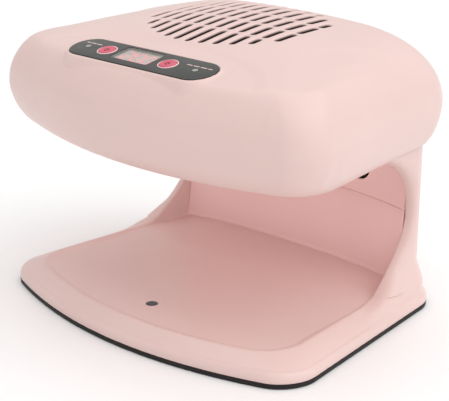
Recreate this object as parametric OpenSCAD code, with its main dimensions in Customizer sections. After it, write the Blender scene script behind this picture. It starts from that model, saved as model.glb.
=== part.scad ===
// Tabletop air nail dryer: a fan hood on a C-shaped column over an open hand tray.
// Millimetres, +Z up, -Y is the user's side, origin at the centre of the footprint on the table.

/* [Base] */
// Width of the base at its front corners
base_w = 270; // [250:1:290]
// Width of the base at its back edge
base_back_w = 234; // [224:1:244]
// Distance of the front corners in front of the origin
base_corner_y = 73.5; // [68:0.5:78]
// How far the front edge bows out past its corners
base_bow = 29.5; // [20:0.5:34]
// Distance of the back edge behind the origin
base_back_y = 102.5; // [98:0.5:103]
// Height of the tray floor where the hands rest
floor_z = 15; // [13:0.5:18]
// Height of the crest around the tray recess
crest_z = 17; // [15.5:0.5:20]
// Thickness of the bottom cover plate
plate_t = 3; // [2:0.1:4]

/* [Hood] */
// Half width of the hood at its front corners
hood_front_half = 141.3; // [130:0.1:150]
// Half width of the hood at its back edge
hood_back_half = 123; // [115:0.5:130]
// Height of the widest line around the hood
waist_z = 146.5; // [140:0.5:152]
// Height of the hood's lower lip
lip_z = 116; // [112:0.5:120]
// Height of the top surface above the widest line, at the rim of the dome
dome_h = 57.3; // [50:0.1:62]
// Wall thickness of the moulded covers
wall = 2.6; // [2:0.1:3.5]

/* [Column] */
// Distance of the column's back face behind the origin
column_back_y = 102; // [100:0.5:102.5]
// Thickness of the column's side cheeks
cheek_t = 9.5; // [8:0.5:11]
// Radius of the cheeks' rounded outer edge around the opening
rim_r = 8; // [4:0.5:9]
// Radius of the C-shaped side opening
opening_r = 48; // [44:1:50]
// Height of the joint between the two back panels
seam_z = 67; // [60:1:72]

/* [Intake grille] */
// Half width of the oval slot field
grille_a = 65; // [55:1:68]
// Half depth of the oval slot field
grille_b = 54.5; // [50:0.5:58]
// Distance between slot centre lines
slot_pitch = 10.1; // [9:0.1:12]
// Width of one slot
slot_w = 3.6; // [2.5:0.1:4]
// Distance between the cross bridges
bridge_pitch = 21.8; // [18:0.1:26]

/* [Controls] */
// Half length of the control panel
panel_half = 61.5; // [57:0.5:65]
// Half width of the control panel
panel_r = 13.4; // [12:0.1:15]
// Diameter of a button cap
button_d = 11.4; // [10:0.1:12]
// Travel of a button
button_travel = 0.6; // [0.3:0.1:0.7]

/* [Fan] */
// Radius of the impeller at its blade tips
impeller_r = 56; // [50:1:57]
// Number of impeller blades
blades = 7; // [5:1:9]
// Pitch angle of the blades
blade_pitch = 38; // [25:1:45]

/* [Hidden] */
$fn = 48;

PINK = [0.95, 0.83, 0.81];
PINK_SHADE = [0.86, 0.66, 0.64];
DARK = [0.30, 0.32, 0.30];
BLACK = [0.14, 0.12, 0.12];
STEEL = [0.72, 0.72, 0.74];
BOARD = [0.12, 0.42, 0.24];

gap = 0.3;                            // assembly clearance between mouldings
plate_z = 0.4;                        // underside of the bottom plate above the table
body_z = plate_z + plate_t;           // underside of the pink body
rim_z = 10.6;                         // top of the steep outer edge of the base
hood_corner_y = 69.6;
hood_bow = 27.5;
hood_back_y = 103;
hood_front_r = 20;
hood_back_r = 31;
lip_back_r = 24;
lip_in_side = 15.6;                   // how far the lip tucks in under the widest line
lip_in_front = 17.3;
lip_in_back = 1;
tuck_power = 1.67;
dome_centre_y = 27;
deck_z = 195.8;                       // height of the sloping deck's plane at the origin
deck_slope = 0.178;
island_sink = 1;                      // how far the ground around the control panel lies below the deck
island_half = 97;
island_deep = 36;
island_edge = 9;                      // run of the slope around that ground
cap_z = 198;                          // height of the crown
cap_y = 38.6;
blend = 2.5;                          // softness of the creases between deck, crown and rim
grille_y = 21;
bridge_shift = 5.3;                   // centre line of the middle row of slots, behind grille_y
panel_tilt = atan(deck_slope);
panel_y = -68;
panel_at = [0, panel_y, deck_z + deck_slope * panel_y - island_sink];
row_v = 0;                            // buttons and lamps along the panel's middle line
button_x = [-31.4, 23.6];
lamp_x = [-49.4, 46.6];
lamp_r = 1.9;
display_at = [-5.4, 1.9];             // display, left of and above the panel's middle
display_size = [33, 18];
opening_y = 33;                       // centre of the C-shaped opening, seen from the side
opening_z = 64;
opening_low = 49;
ramp_z = 19;
ramp_run = 4;                         // forward run of the ramp for each millimetre of fall
arc_z = 109;                          // top of the arc, from where a straight edge leans forward
arc_run = 2.3;
back_wall_t = 4;
cheek_taper = 0.1186;                 // how much the cheeks close in for each millimetre towards the back
flare_z = 31.6;                       // top of the column's flared foot
flare_h = 16;
wall_y = 86;                          // front face of the back panel at its foot, on the centre line
panel_foot_z = 18.5;
panel_drop = 11;                      // how far the back panel's ends come forward
panel_end_x = 99.8;
// How far the opening tool runs past the cheeks, to clear the flared foot.
rim_over = 16;
panel_t = 2.2;
panel_lean = 6.8;
upper_y = wall_y + (seam_z - panel_foot_z) * tan(panel_lean);
outlet_z = 88.5;
outlet_half = 64;
outlet_r = 11.2;
skirt_h = 3.4;                        // skirting below the lower back panel
skirt_t = 0.8;
fan_at = [0, 18.5];
liner_z = lip_z + 1.5;
liner_t = 2.5;
deck_under = liner_z + liner_t;       // upper face of the hood liner
frame_z = 140;                        // underside of the fan frame
shaft_r = 1.5;
motor_r = 18;
sensor_y = -63;
inlet_x = 58;
inlet_z = 34;
heater_z = 124;
heater_y = [80, 94];
blade_chord = 20;
ear_r = 72;
shank_r = 1.1;                        // screw shank, a little under its pilot hole
wire_r = 1.6;
WIRE_ROUTE = [[14, 92.95, 44], [78, 93.4, 44], [78, 93.4, 124], [78, 74, 134], [78, -20, 148],
    panel_point(48, 0, -22), panel_point(48, 0, -9.8)];
boss_spots = [for (sx = [-1, 1], p = [[118, -60], [60, -87], [111, 20], [99, 78]]) [sx * p[0], p[1]]];
hood_spots = [for (sx = [-1, 1], p = [[98, -52], [104, 8], [98, 62]]) [sx * p[0], p[1]]];
ear_angles = [45, 135, 225, 315];
board_spots = [for (sx = [-1, 1], sy = [-1, 1]) [sx * 55, sy * 7.5]];
foot_spots = [[-102, -62], [102, -62], [-78, 82], [78, 82]];

// ---- plan outlines -------------------------------------------------------------------------------

function bezier(a, b, c, d, t) =
    pow(1 - t, 3) * a + 3 * pow(1 - t, 2) * t * b + 3 * (1 - t) * t * t * c + t * t * t * d;

// Right half of a rounded plan: a bowed front, a tapering side and a straight back.
function half_plan(wf, wb, yf, yb, bow, rf, rb) =
    let (
        xa = wf - rf,
        front_corner = [wf, -yf],
        side = [wb, yb] - front_corner,
        dir = side / norm(side),
        a = [xa, -yf - bow * (1 - pow(xa / wf, 2))],
        b = front_corner + dir * rf,
        grad = [1, 2 * bow * xa / (wf * wf)],
        ta = grad / norm(grad),
        reach = 0.55 * norm(front_corner - a),
        c = [wb, yb] - dir * rb,
        d = [wb - rb, yb]
    )
    concat(
        [for (i = [0:5]) let (x = xa * i / 6) [x, -yf - bow * (1 - pow(x / wf, 2))]],
        [for (i = [0:5]) bezier(a, a + ta * reach, b - dir * 0.55 * rf, b, i / 5)],
        [for (i = [1:2]) b + (c - b) * i / 3],
        [for (i = [0:5]) bezier(c, c + dir * 0.55 * rb, d + [0.55 * rb, 0], d, i / 5)],
        [for (i = [1:3]) d * (1 - i / 3) + [0, yb] * i / 3]
    );

function plan(wf, wb, yf, yb, bow, rf, rb) =
    let (half = half_plan(wf, wb, yf, yb, bow, rf, rb), n = len(half))
    concat(half, [for (i = [n - 2:-1:1]) [-half[i][0], half[i][1]]]);

function base_plan(inset) =
    plan(base_w / 2 - inset, base_back_w / 2 - inset, base_corner_y - inset, base_back_y - inset,
        base_bow, 20, 24);

function recess_plan(inset) =
    plan(117 - inset, 103 - inset, 66 - inset, 93 - inset, 25.5, 22, 10);

function lip_plan(inset) =
    plan(hood_front_half - lip_in_side - inset, hood_back_half - lip_in_side - inset,
        hood_corner_y - lip_in_front - inset, hood_back_y - lip_in_back - inset,
        hood_bow, hood_front_r, lip_back_r);

function hood_plan(inset) =
    plan(hood_front_half - inset, hood_back_half - inset, hood_corner_y - inset, hood_back_y - inset,
        hood_bow, hood_front_r, hood_back_r);

function mix_rings(p, q, t) = [for (i = [0:len(p) - 1]) p[i] * (1 - t) + q[i] * t];
function at_z(ring, z) = [for (p = ring) [p[0], p[1], z]];

// Closed solid through a stack of rings with the same number of points, capped at both ends.
module loft(rings) {
    n = len(rings[0]);
    m = len(rings);
    first_mid = [for (k = [0:2]) (rings[0][0][k] + rings[0][floor(n / 2)][k]) / 2];
    last_mid = [for (k = [0:2]) (rings[m - 1][0][k] + rings[m - 1][floor(n / 2)][k]) / 2];
    points = concat([for (r = rings, p = r) p], [first_mid, last_mid]);
    sides = [for (i = [0:m - 2], j = [0:n - 1]) let (k = (j + 1) % n)
        each [[i * n + j, (i + 1) * n + j, (i + 1) * n + k], [i * n + j, (i + 1) * n + k, i * n + k]]];
    first_cap = [for (j = [0:n - 1]) [m * n, j, (j + 1) % n]];
    last_cap = [for (j = [0:n - 1]) [m * n + 1, (m - 1) * n + (j + 1) % n, (m - 1) * n + j]];
    polyhedron(points, concat(sides, first_cap, last_cap), convexity = 10);
}

// ---- hood surface --------------------------------------------------------------------------------

function soft_min(a, b, c) =
    let (m = min(a, b, c))
    m - blend * ln(exp((m - a) / blend) + exp((m - b) / blend) + exp((m - c) / blend));

function step01(t) = let (c = min(max(t, 0), 1)) c * c * (3 - 2 * c);

// 1 on the sunken ground around the control panel, 0 outside it.
function island_share(p) =
    let (
        u = abs(p[0]) / island_half,
        v = max(p[1] - panel_y + 5, 0) / island_deep,
        q = pow(pow(u, 2.2) + pow(v, 2.2) + 0.000001, 1 / 2.2),
        slope = norm([pow(u, 1.2) / island_half, pow(v, 1.2) / island_deep]) / pow(q, 1.2)
    )
    step01(0.5 + (1 - q) / max(slope, 0.002) / island_edge);

// Height of the hood's top at plan point p, where rho is 0 at the dome's centre and 1 at its rim.
function dome_z(p, rho, sink) =
    let (
        deck = deck_z + deck_slope * p[1] - 0.0003 * p[0] * p[0] - island_sink * island_share(p),
        crown = cap_z - 0.0001 * pow(p[1] - cap_y, 2) - 0.0011 * p[0] * p[0],
        fullness = 3.1 - 0.7 * step01((p[1] - 20) / 50),
        rim = waist_z + sink + dome_h * pow(max(1 - pow(rho, fullness), 0), 1 / 2.15)
    )
    soft_min(deck, crown, rim) - sink;

function dome_ring(rho, inset) =
    let (mid = [0, dome_centre_y])
    [for (p = hood_plan(inset)) let (q = mid + (p - mid) * rho) [q[0], q[1], dome_z(q, rho, inset)]];

// Ring below the widest line, where s runs from 0 at the waist to 1 at the lip.
function tuck_ring(s, inset) =
    let (g = 1 - pow(max(1 - pow(s, tuck_power), 0), 1 / tuck_power))
    at_z(mix_rings(hood_plan(inset), lip_plan(inset), g), waist_z - s * (waist_z - lip_z));

OUTER_RHO = [0.1, 0.32, 0.52, 0.68, 0.79, 0.87, 0.93, 0.97, 0.993];
INNER_RHO = [0.1, 0.52, 0.75, 0.88, 0.96];
OUTER_TUCK = [0, 0.3, 0.55, 0.75, 0.9, 1];
INNER_TUCK = [0, 0.4, 0.75, 1];

function reversed(v) = [for (i = [len(v) - 1:-1:0]) v[i]];

module hood_solid() {
    loft(concat([for (s = reversed(OUTER_TUCK)) tuck_ring(s, 0)], [for (r = reversed(OUTER_RHO)) dome_ring(r, 0)]));
}

module hood_shell() {
    loft(concat(
        [for (r = INNER_RHO) dome_ring(r, wall)],
        [for (s = INNER_TUCK) tuck_ring(s, wall)],
        [for (s = reversed(OUTER_TUCK)) tuck_ring(s, 0)],
        [for (r = reversed(OUTER_RHO)) dome_ring(r, 0)]
    ));
}

// ---- control panel frame: x along the panel, y up its slope, z out of its face -------------------

function panel_point(u, v, w) =
    panel_at + [u, v * cos(panel_tilt) - w * sin(panel_tilt), v * sin(panel_tilt) + w * cos(panel_tilt)];

module on_panel() {
    translate(panel_at) rotate([panel_tilt, 0, 0]) children();
}

module stadium(half, r, z0, z1) {
    translate([0, 0, z0]) linear_extrude(z1 - z0) {
        square([2 * (half - r), 2 * r], center = true);
        for (sx = [-1, 1]) translate([sx * (half - r), 0]) circle(r);
    }
}

module disc(x, y, r, z0, z1) {
    translate([x, y, z0]) cylinder(r = r, h = z1 - z0);
}

// ---- side opening and back wall ------------------------------------------------------------------

// Depth of the C-shaped opening at height z: an arc with a straight lean above it and a ramp below it.
function opening_depth(z) =
    z > arc_z ? opening_depth(arc_z) - (z - arc_z) * arc_run
    : z >= opening_z ? opening_y + opening_r * sqrt(1 - pow((z - opening_z) / opening_r, 2))
    : z >= ramp_z ? opening_y + opening_r * pow(1 - pow((opening_z - z) / opening_low, 1.5), 0.87)
    : opening_depth(ramp_z) - (ramp_z - z) * ramp_run;

// Point of the opening's side view at height z, moved outwards by grow.
function opening_point(z, grow) =
    let (steep = opening_depth(z + 0.1) - opening_depth(z - 0.1), n = [0.2, -steep] / norm([0.2, -steep]))
    [opening_depth(z), z] + n * grow;

// Half width over the cheeks' outer faces at depth y.
function cheek_x(y) =
    hood_front_half - lip_in_side - (hood_corner_y - lip_in_front + max(y, -90)) * cheek_taper;

// One outline of the opening tool, t inside the cheek's outer face on side sx.
function opening_ring(sx, t, grow) =
    let (
        steps = 24,
        zs = [for (i = [0:steps]) ramp_z - 6 + (arc_z - ramp_z + 6) * (1 - cos(180 * i / steps)) / 2],
        curve = concat([for (z = zs) opening_point(z, grow)], [opening_point(lip_z + 1, grow)]),
        side = concat([[-120, -10], [curve[0][0] - 60, -10]], curve, [[-120, 130]])
    )
    [for (q = side) [sx * (cheek_x(q[0]) - t), q[0], q[1]]];

module opening_cut() {
    turns = [0:15:90];
    right = concat([for (a = turns) opening_ring(1, rim_r * (1 - sin(a)), rim_r * (1 - cos(a)))],
        [opening_ring(1, -rim_over, rim_r)]);
    left = concat([opening_ring(-1, -rim_over, rim_r)],
        [for (a = [90:-15:0]) opening_ring(-1, rim_r * (1 - sin(a)), rim_r * (1 - cos(a)))]);
    loft(concat(left, right));
}

function wall_front(x) = -panel_drop * pow(abs(x) / panel_end_x, 3);

module back_plate(z0, z1) {
    n = 20;
    xs = [for (i = [0:n]) -panel_end_x + 2 * panel_end_x * i / n];
    translate([0, 0, z0]) linear_extrude(z1 - z0)
        polygon(concat([for (x = xs) [x, wall_front(x)]], [for (x = reversed(xs)) [x, wall_front(x) + panel_t]]));
}

// ---- casings -------------------------------------------------------------------------------------

// Share of the way from the column's outline out to the base's outline, at height z in the flared foot.
function flare_share(z) =
    let (t = min(max((flare_z - z) / flare_h, 0), 1))
    (sin(90 * t) + t * t * (3 - 2 * t)) / 2;

module tray_solid() {
    loft([at_z(base_plan(0), body_z), at_z(base_plan(0.3), rim_z - 3), at_z(base_plan(1.4), rim_z - 1),
        at_z(base_plan(3.6), rim_z), at_z(recess_plan(0), crest_z), at_z(recess_plan(1.6), crest_z - 0.4),
        at_z(recess_plan(3), floor_z)]);
}

// The column and its two cheeks: hollow towards the front, with a flared foot.
module column_wall() {
    foot = rim_z - 1;
    difference() {
        loft(concat(
            [for (z = [foot, flare_z - flare_h, flare_z - 12, flare_z - 8, flare_z - 4, flare_z])
                at_z(mix_rings(lip_plan(0), base_plan(3), flare_share(z)), z)],
            [at_z(lip_plan(0), lip_z)]));
        opening_cut();
        intersection() {
            loft([at_z(lip_plan(back_wall_t), floor_z), at_z(lip_plan(back_wall_t), lip_z + 1)]);
            translate([0, 0, floor_z]) linear_extrude(130)
                polygon([for (q = [[1, 0], [1, wall_y + 0.1], [-1, wall_y + 0.1], [-1, 0]])
                    [q[0] * (cheek_x(q[1]) - cheek_t), q[1]]]);
        }
        intersection() {
            loft([at_z(lip_plan(back_wall_t), floor_z), at_z(lip_plan(back_wall_t), lip_z + 1)]);
            translate([-150, wall_y, 0]) cube([300, 50, 130]);
        }
    }
}

// Pink body: the tray with its raised margin, the two cheeks and the rounded column behind.
module main_housing() {
    color(PINK) difference() {
        union() {
            tray_solid();
            column_wall();
        }
        difference() {
            loft([at_z(base_plan(wall), body_z - 1), at_z(base_plan(wall), rim_z - 3),
                at_z(base_plan(wall + 3), rim_z - 1), at_z(recess_plan(2), floor_z - wall)]);
            for (p = boss_spots) hull() {
                disc(p[0], p[1], 3.6, body_z, floor_z - wall + 0.4);
            }
            for (sx = [-1, 1]) disc(sx * 9, sensor_y, 1.8, 10.8, floor_z);
        }
        for (p = boss_spots) disc(p[0], p[1], 1.2, body_z - 1, floor_z - wall - 1);
        disc(0, sensor_y, 4, floor_z - 6, floor_z + 2);
        translate([-40, 92, body_z]) cube([80, 6, 20]);
        translate([inlet_x - 12.2, 95, inlet_z - 6.2]) cube([24.4, 10, 12.4]);
        for (x = [-78:8:-22]) translate([x, 95, 30]) cube([3, 10, 26]);
    }
}

module base_plate() {
    color(BLACK) difference() {
        translate([0, 0, plate_z]) linear_extrude(plate_t) polygon(base_plan(0));
        for (p = foot_spots) disc(p[0], p[1], 7.2, 0, plate_z + 0.8);
        for (p = boss_spots) {
            disc(p[0], p[1], 1.7, 0, body_z + 1);
            disc(p[0], p[1], 3.2, 0, plate_z + 1.4);
        }
    }
}

module feet() {
    color([0.1, 0.1, 0.1]) for (p = foot_spots) disc(p[0], p[1], 7, 0, plate_z + 0.8);
}

module lower_back_panel() {
    color(PINK_SHADE) translate([0, wall_y, panel_foot_z]) rotate([-panel_lean, 0, 0]) {
        back_plate(-skirt_h + 0.2, (seam_z - panel_foot_z - gap) / cos(panel_lean) - 0.6);
        translate([0, -skirt_t, 0]) back_plate(-skirt_h + 0.2, 0);
    }
}

module upper_back_panel() {
    color(PINK_SHADE) difference() {
        translate([0, upper_y, 0]) back_plate(seam_z + 0.5, liner_z);
        outlet_stadium(outlet_half, outlet_r, upper_y - 20, upper_y + 20);
    }
}

module outlet_stadium(half, r, y0, y1) {
    translate([0, y1, outlet_z]) rotate([90, 0, 0]) linear_extrude(y1 - y0) {
        square([2 * (half - r), 2 * r], center = true);
        for (sx = [-1, 1]) translate([sx * (half - r), 0]) circle(r);
    }
}

// Black outlet insert: a rounded frame behind the panel with angled blades that throw the air down.
module outlet_louver() {
    front = upper_y + panel_t;
    color(BLACK) {
        difference() {
            outlet_stadium(outlet_half + 4, outlet_r + 4, front, front + 2);
            outlet_stadium(outlet_half - 1, outlet_r - 1, front - 1, front + 3);
        }
        for (i = [-1.5:1:1.5]) translate([0, front + 1, outlet_z + i * 5]) rotate([35, 0, 0])
            cube([2 * (outlet_half - 6), 3.4, 1.1], center = true);
        for (x = [-40:20:40]) translate([x, front + 1, outlet_z]) cube([1.6, 2, 2 * outlet_r - 1], center = true);
    }
}

// Domed cover of the hood, with the slotted intake grille and the recess for the control panel.
module top_cover() {
    color(PINK) difference() {
        union() {
            hood_shell();
            intersection() {
                hood_solid();
                union() {
                    on_panel() hull() {
                        stadium(panel_half + 2.6, panel_r + 2.4, -1, 0);
                        stadium(panel_half + 11, panel_r + 10, -6, -5);
                    }
                    for (p = hood_spots) disc(p[0], p[1], 4, deck_under, 185);
                }
            }
            on_panel() hull() {
                stadium(panel_half + 2.6, panel_r + 2.4, -2, 0);
                stadium(panel_half + 8, panel_r + 6, -3, -2);
            }
            on_panel() for (p = board_spots) disc(p[0], p[1], 2.6, -8.2, -2);
        }
        intake_slots();
        for (p = hood_spots) disc(p[0], p[1], 1.2, deck_under - 1, deck_under + 12);
        on_panel() {
            stadium(panel_half + 0.2, panel_r + 0.2, -1.2, 4);
            translate([display_at[0] - 40, -10, -14]) cube([80, 22.2, 14]);
            for (x = lamp_x) disc(x, row_v, lamp_r + 0.2, -14, 1);
            for (p = board_spots) disc(p[0], p[1], 1, -9, -3);
        }
    }
}

// Rows of front-to-back slots, broken by cross bridges and clipped to an oval.
module intake_slots() {
    bridge = 3.2;
    for (k = [-6:5]) {
        x = (k + 0.5) * slot_pitch;
        reach = grille_b * sqrt(1 - pow(x / grille_a, 2));
        for (row = [-2:2]) {
            middle = row * bridge_pitch + bridge_shift;
            y0 = max(-reach, row == -2 ? -90 : middle - (bridge_pitch - bridge) / 2);
            y1 = min(reach, row == 2 ? 90 : middle + (bridge_pitch - bridge) / 2);
            if (y1 - y0 > slot_w + 1.5)
                translate([x, grille_y, 150]) hull() {
                    translate([0, y0 + slot_w / 2, 0]) cylinder(d = slot_w, h = 60, $fn = 6);
                    translate([0, y1 - slot_w / 2, 0]) cylinder(d = slot_w, h = 60, $fn = 6);
                }
        }
    }
}

// Underside of the hood, with posts that carry the fan frame.
module hood_liner() {
    color(PINK) difference() {
        union() {
            intersection() {
                translate([0, 0, liner_z]) linear_extrude(liner_t) polygon(lip_plan(wall + gap));
                translate([-150, -150, liner_z]) cube([300, 150 + upper_y - 0.2, liner_t]);
            }
            for (a = ear_angles) translate([ear_r * cos(a), fan_at[1] + ear_r * sin(a), deck_under - 1])
                cylinder(r = 4.5, h = frame_z - deck_under + 1);
        }
        for (a = ear_angles) translate([ear_r * cos(a), fan_at[1] + ear_r * sin(a), frame_z - 12])
            cylinder(r = 1.2, h = 13);
        for (p = hood_spots) {
            disc(p[0], p[1], 1.7, liner_z - 1, deck_under + 1);
            disc(p[0], p[1], 3.2, liner_z - 1, liner_z + 1.2);
        }
    }
}

// ---- controls ------------------------------------------------------------------------------------

module control_panel() {
    color(DARK) on_panel() difference() {
        stadium(panel_half, panel_r, -1.2, 0.4);
        for (x = button_x) disc(x, row_v, button_d / 2 + 0.2, -2, 1);
        for (x = lamp_x) disc(x, row_v, lamp_r + 0.1, -2, 1);
        translate([display_at[0], display_at[1], 0]) cube([display_size[0] + 0.4, display_size[1] + 0.4, 4], center = true);
    }
}

module button_rings() {
    color([0.97, 0.85, 0.85]) on_panel() for (x = button_x) difference() {
        disc(x, row_v, button_d / 2 + 1.1, 0.4, 0.7);
        disc(x, row_v, button_d / 2 + 0.2, 0, 1);
    }
}

module display_window() {
    color([0.8, 0.76, 0.72, 0.5]) on_panel()
        translate([display_at[0], display_at[1], -0.5]) cube([display_size[0], display_size[1], 1.4], center = true);
}

// One seven-segment digit, 7.5 wide and 12 high, drawn as separate light bars.
module digit(bars) {
    t = 1.3;
    w = 6.5;
    h = 11.5;
    places = [[0, h / 2, 0], [w / 2, h / 4, 1], [w / 2, -h / 4, 1], [0, -h / 2, 0], [-w / 2, -h / 4, 1],
        [-w / 2, h / 4, 1], [0, 0, 0]];
    for (i = bars) let (p = places[i]) translate([p[0], p[1], 0])
        cube(p[2] == 1 ? [t, h / 2 - t - 0.4, 0.2] : [w - t - 0.4, t, 0.2], center = true);
}

module display_segments() {
    color([0.93, 0.45, 0.5]) on_panel() translate([display_at[0], display_at[1], -1.5]) {
        translate([-9.5, 0, 0]) digit([0, 1, 6, 4, 3]);
        digit([0, 1, 2, 3, 4, 5]);
        translate([9.5, 0, 0]) digit([0, 1, 2, 3, 4, 5]);
    }
}

module display_module() {
    color([0.75, 0.72, 0.68]) on_panel() translate([display_at[0], display_at[1], -4.9])
        cube([display_size[0] + 1, display_size[1] + 1, 6.6], center = true);
}

module button(x) {
    color([0.88, 0.36, 0.47]) on_panel() {
        disc(x, row_v, button_d / 2, -2.1, 1.2);
        disc(x, row_v, button_d / 2 + 1.2, -2.1, -1.3);
        disc(x, row_v, 2, -4.2, -2.1);
    }
}

module left_button() {
    button(button_x[0]);
}

module right_button() {
    button(button_x[1]);
}

module tact_switches() {
    color(BLACK) on_panel() for (x = button_x) translate([x, row_v, 0]) {
        translate([-3, -3, -8.2]) cube([6, 6, 2.4]);
        disc(0, 0, 1.7, -5.8, -5);
    }
}

module light_pipes() {
    color([0.85, 0.86, 0.84]) on_panel() for (x = lamp_x) {
        disc(x, row_v, lamp_r, -8.2, 0.5);
    }
}

module control_board() {
    color(BOARD) on_panel() difference() {
        translate([-60, -11, -9.8]) cube([120, 22, 1.6]);
        for (p = board_spots) disc(p[0], p[1], 1.4, -12, -8);
    }
}

// ---- fan and heater ------------------------------------------------------------------------------

module fan_frame() {
    color([0.2, 0.2, 0.21]) translate([fan_at[0], fan_at[1], frame_z]) difference() {
        union() {
            cylinder(r = 62, h = 28, $fn = 96);
            for (a = ear_angles) rotate(a) translate([58, -6, 0]) cube([ear_r - 58, 12, 3]);
            for (a = ear_angles) rotate(a) translate([ear_r, 0, 0]) cylinder(r = 6, h = 3);
        }
        difference() {
            translate([0, 0, -1]) cylinder(r = 59, h = 30, $fn = 96);
            for (a = ear_angles) rotate(a) translate([motor_r, -4, -2]) cube([59 - motor_r + 1, 8, 5]);
            translate([0, 0, -2]) cylinder(r = motor_r + 3, h = 12);
        }
        translate([0, 0, -3]) cylinder(r = motor_r, h = 20);
        for (a = ear_angles) rotate(a) translate([ear_r, 0, -1]) cylinder(r = 1.7, h = 5);
    }
}

module fan_motor() {
    color(STEEL) translate([fan_at[0], fan_at[1], 0]) difference() {
        union() {
            disc(0, 0, motor_r, frame_z - 15, frame_z + 10);
            disc(0, 0, 5, frame_z + 10, frame_z + 11.5);
        }
        disc(0, 0, shaft_r + 0.05, frame_z - 8, frame_z + 12);
    }
}

module motor_shaft() {
    color(STEEL) disc(fan_at[0], fan_at[1], shaft_r, frame_z - 7.9, frame_z + 26);
}

module impeller() {
    hub_z = frame_z + 12;
    color([0.16, 0.16, 0.17]) translate([fan_at[0], fan_at[1], hub_z]) difference() {
        union() {
            cylinder(r = 19, h = 14);
            for (i = [0:blades - 1]) rotate(i * 360 / blades) intersection() {
                translate([12, 0, 7]) rotate([blade_pitch, 0, 0])
                    translate([0, -blade_chord / 2, -0.8]) cube([impeller_r, blade_chord, 1.6]);
                cylinder(r = impeller_r, h = 14, $fn = 96);
            }
        }
        translate([0, 0, -1]) cylinder(r = shaft_r, h = 16);
        translate([0, 0, -1]) difference() {
            cylinder(r = 16.5, h = 12);
            cylinder(r = 5, h = 12);
        }
    }
}

module heater_core() {
    color(STEEL) {
        for (z = [heater_z, heater_z + 14]) translate([-56, heater_y[0], z]) cube([112, 14, 2]);
        translate([-56, heater_y[0], heater_z + 7]) cube([112, 14, 2]);
        for (i = [0:27]) translate([-55.4 + i * 4.1, heater_y[0] + 1, heater_z + 1]) cube([0.5, 12, 14]);
    }
}

module heater_holders() {
    color([0.82, 0.78, 0.7]) for (sx = [-1, 1]) difference() {
        translate([sx * 59 - 4, heater_y[0] - 1, deck_under]) cube([8, 16, 22]);
        translate([sx * 56 - 4.05, heater_y[0] - 0.05, heater_z - 0.05]) cube([8.1, 14.1, 16.1]);
    }
}

module thermal_cutout() {
    color([0.8, 0.8, 0.82]) {
        disc(30, 87, 6, heater_z + 16, heater_z + 20);
        translate([22, 84.5, heater_z + 16]) cube([16, 5, 1]);
    }
}

// ---- sensor, power and wiring --------------------------------------------------------------------

module sensor_lens() {
    color([0.12, 0.07, 0.08]) {
        disc(0, sensor_y, 3.8, floor_z - wall, floor_z - 0.2);
        disc(0, sensor_y, 3, floor_z - wall - 0.6, floor_z - wall);
    }
}

module sensor_board() {
    color(BOARD) translate([-13, sensor_y - 7, 9.2]) cube([26, 14, 1.6]);
    color(BLACK) for (sx = [-1, 1]) disc(sx * 1.4, sensor_y, 1.2, 10.8, floor_z - wall - 0.6);
}

// Two-pin mains inlet in the back of the column: pins 8.6 apart in a figure-eight socket.
module power_inlet() {
    color([0.1, 0.1, 0.1]) difference() {
        union() {
            translate([inlet_x - 12, 90.5, inlet_z - 6]) cube([24, 12, 12]);
            translate([inlet_x - 14, column_back_y, inlet_z - 8]) cube([28, 1, 16]);
        }
        for (sx = [-1, 1]) translate([inlet_x + sx * 4.3, 93, inlet_z]) rotate([-90, 0, 0]) cylinder(r = 3.9, h = 12);
        translate([inlet_x - 4.3, 93, inlet_z - 3.2]) cube([8.6, 12, 6.4]);
    }
    color(STEEL) for (sx = [-1, 1]) translate([inlet_x + sx * 4.3, 92, inlet_z]) rotate([-90, 0, 0])
        cylinder(r = 1.2, h = 9);
}

module power_board() {
    color(BOARD) translate([-76, 94.6, 26]) cube([96, 1.6, 34]);
    color(BLACK) translate([-14, 91, 27]) cube([22, 3.6, 11]);
    color(STEEL) translate([-50, 90.6, 28]) cube([14, 4, 14]);
}

module rod(a, b, r) {
    d = b - a;
    translate(a) rotate([0, acos(d[2] / norm(d)), atan2(d[1], d[0])]) cylinder(r = r, h = norm(d), $fn = 24);
}

module wiring_harness() {
    color([0.9, 0.9, 0.9]) {
        for (i = [0:len(WIRE_ROUTE) - 2]) rod(WIRE_ROUTE[i], WIRE_ROUTE[i + 1], wire_r);
        for (i = [1:len(WIRE_ROUTE) - 2]) translate(WIRE_ROUTE[i]) sphere(r = wire_r + 0.3, $fn = 24);
    }
}

// ---- screws --------------------------------------------------------------------------------------

// Pan-head screw with its head's underside at z = 0 and its shank pointing up.
module screw(head_r, r, length) {
    translate([0, 0, -1.2]) cylinder(r = head_r, h = 1.2);
    cylinder(r = r, h = length);
}

module base_screws() {
    color(STEEL) for (p = boss_spots) translate([p[0], p[1], plate_z + 1.4]) screw(3, shank_r, 8);
}

module hood_screws() {
    color(STEEL) for (p = hood_spots) translate([p[0], p[1], liner_z + 1.2]) screw(3, shank_r, 11);
}

module fan_screws() {
    color(STEEL) for (a = ear_angles)
        translate([ear_r * cos(a), fan_at[1] + ear_r * sin(a), frame_z + 3]) rotate([180, 0, 0]) screw(3, shank_r, 10);
}

module board_screws() {
    color(STEEL) on_panel() for (p = board_spots) translate([p[0], p[1], -9.8]) screw(2.2, 0.9, 6);
}

main_housing();
base_plate();
feet();
lower_back_panel();
upper_back_panel();
outlet_louver();
top_cover();
hood_liner();
control_panel();
button_rings();
display_window();
display_segments();
display_module();
left_button();
right_button();
tact_switches();
light_pipes();
control_board();
fan_frame();
fan_motor();
motor_shaft();
impeller();
heater_core();
heater_holders();
thermal_cutout();
sensor_lens();
sensor_board();
power_inlet();
power_board();
wiring_harness();
base_screws();
hood_screws();
fan_screws();
board_screws();
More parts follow.
